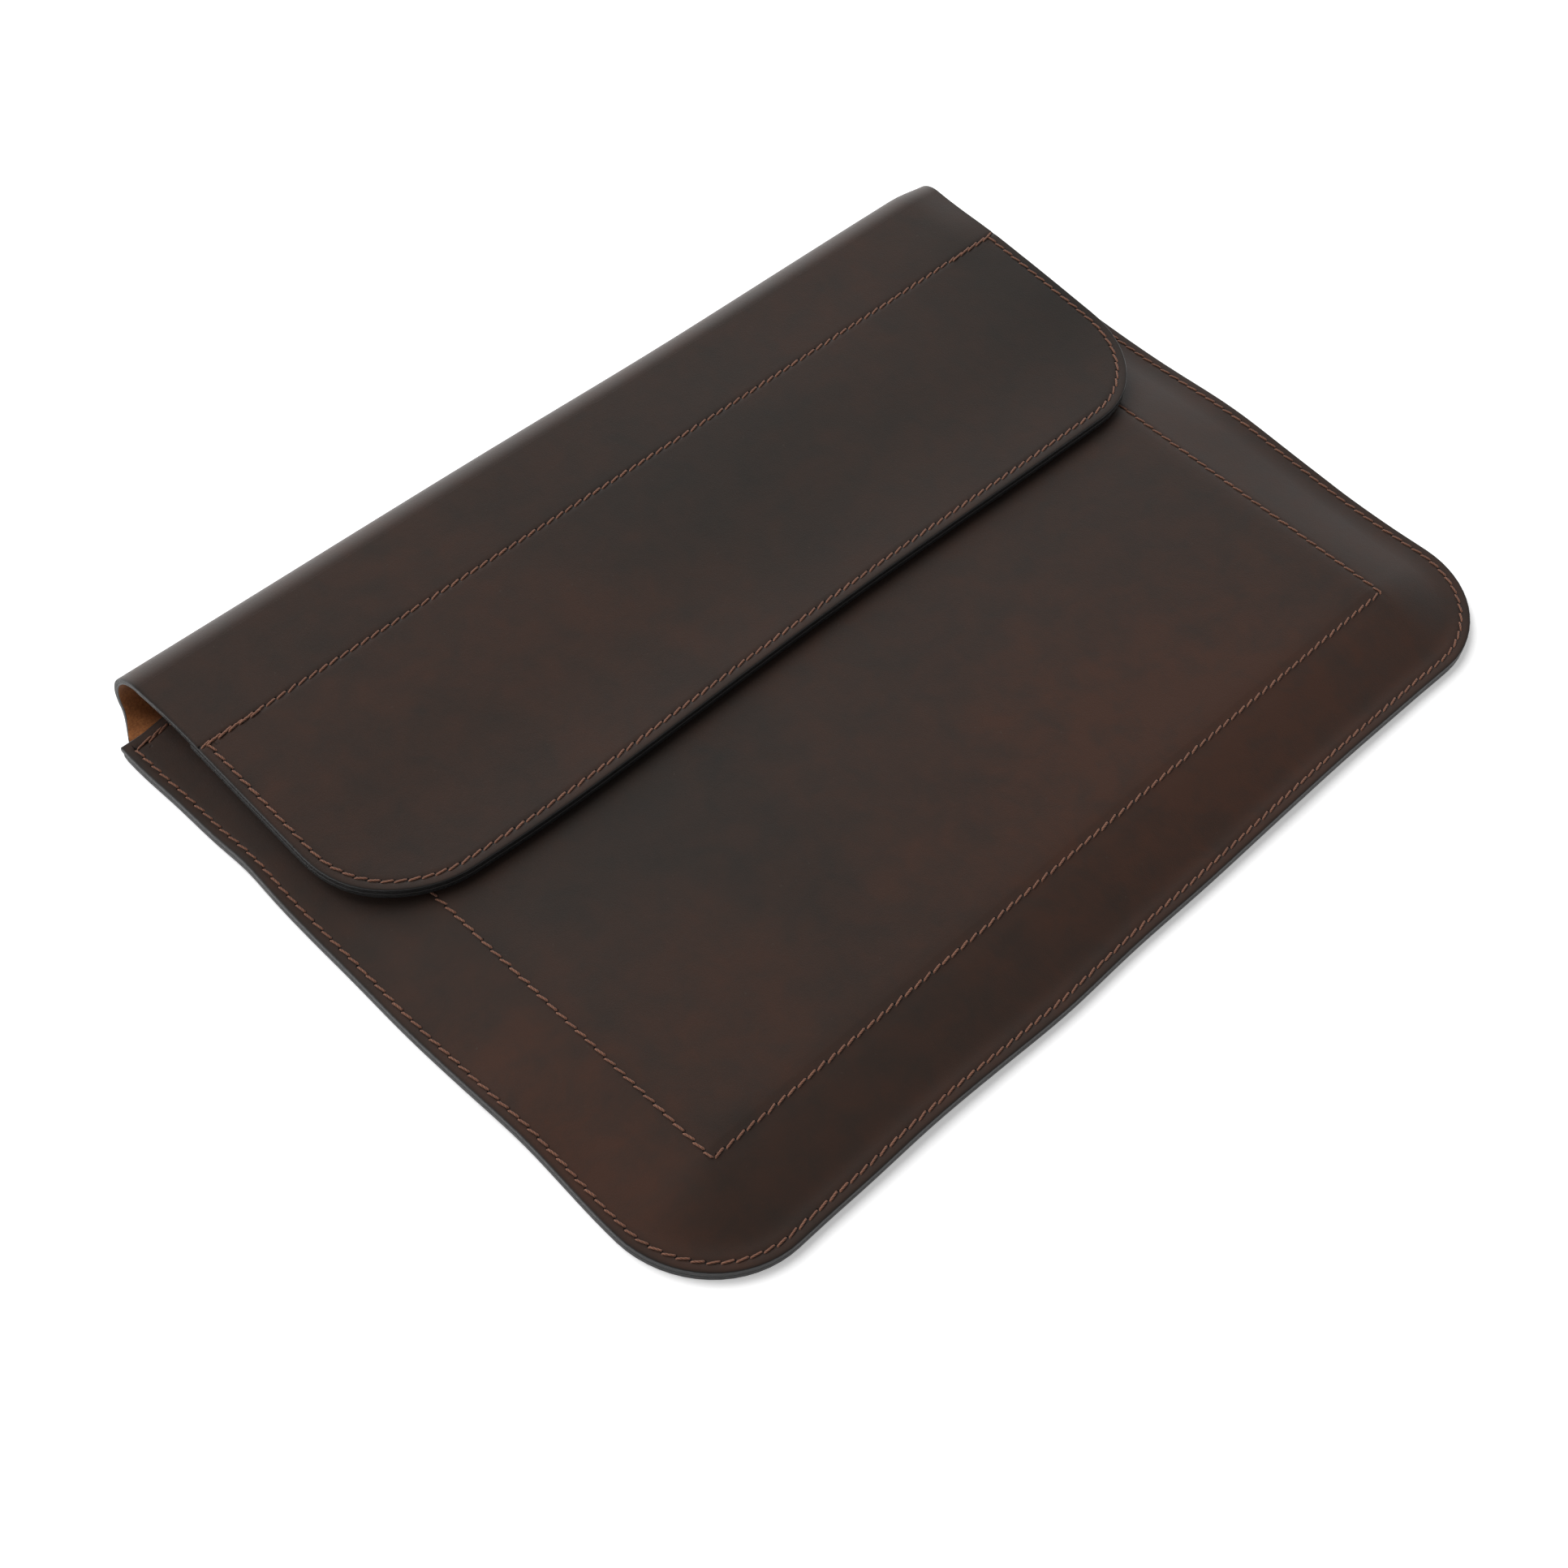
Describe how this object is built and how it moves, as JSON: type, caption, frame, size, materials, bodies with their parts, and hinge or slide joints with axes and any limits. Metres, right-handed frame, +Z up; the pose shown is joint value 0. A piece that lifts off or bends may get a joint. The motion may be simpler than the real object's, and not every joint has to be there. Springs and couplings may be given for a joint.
{
  "type": "laptop sleeve",
  "caption": "Flat leather laptop sleeve with a rounded fold-over flap that unrolls flat, sewn round three sides and open at the mouth under the flap.",
  "frame": {"origin": "on the ground, under the middle of the closed sleeve's bounding box", "axes": "+X along the long side, +Y towards the bend, +Z up out of the front panel"},
  "size_m": [0.3458, 0.2487, 0.0209],
  "materials": {
    "outer_leather": "dark brown smooth leather with a soft sheen and painted black edges",
    "facing_leather": "dark brown smooth leather, duller than the outside",
    "lining_suede": "raw tan suede",
    "thread": "reddish brown waxed thread",
    "magnet": "nickel plated"
  },
  "bodies": {
    "sleeve": {"back_panel": "outer_leather", "front_panel": "outer_leather", "front_lining": "lining_suede", "perimeter_thread": "thread", "lining_thread": "thread", "front_magnet_left": "magnet", "front_magnet_right": "magnet"},
    "bend_1": {"bend_strip_1": "outer_leather"},
    "bend_2": {"bend_strip_2": "outer_leather"},
    "bend_3": {"bend_strip_3": "outer_leather"},
    "bend_4": {"bend_strip_4": "outer_leather"},
    "bend_5": {"bend_strip_5": "outer_leather"},
    "flap": {"flap_panel": "outer_leather", "flap_facing": "facing_leather", "flap_thread": "thread", "flap_magnet_left": "magnet", "flap_magnet_right": "magnet"}
  },
  "joints": [
    {"name": "flap_bend_1", "type": "hinge", "parent": "sleeve", "child": "bend_1", "pos_m": [0, 0.1165, 0.0009], "axis": [-1, 0, 0], "range_deg": [0, 30.62]},
    {"name": "flap_bend_2", "type": "hinge", "parent": "bend_1", "child": "bend_2", "pos_m": [0, 0.12098, 0.00355], "axis": [-1, 0, 0], "range_deg": [0, 30.62]},
    {"name": "flap_bend_3", "type": "hinge", "parent": "bend_2", "child": "bend_3", "pos_m": [0, 0.12348, 0.00811], "axis": [-1, 0, 0], "range_deg": [0, 30.62]},
    {"name": "flap_bend_4", "type": "hinge", "parent": "bend_3", "child": "bend_4", "pos_m": [0, 0.12331, 0.01331], "axis": [-1, 0, 0], "range_deg": [0, 30.62]},
    {"name": "flap_bend_5", "type": "hinge", "parent": "bend_4", "child": "bend_5", "pos_m": [0, 0.12052, 0.01769], "axis": [-1, 0, 0], "range_deg": [0, 30.62]},
    {"name": "flap_bend_6", "type": "hinge", "parent": "bend_5", "child": "flap", "pos_m": [0, 0.11588, 0.02005], "axis": [-1, 0, 0], "range_deg": [0, 30.62]}
  ]
}
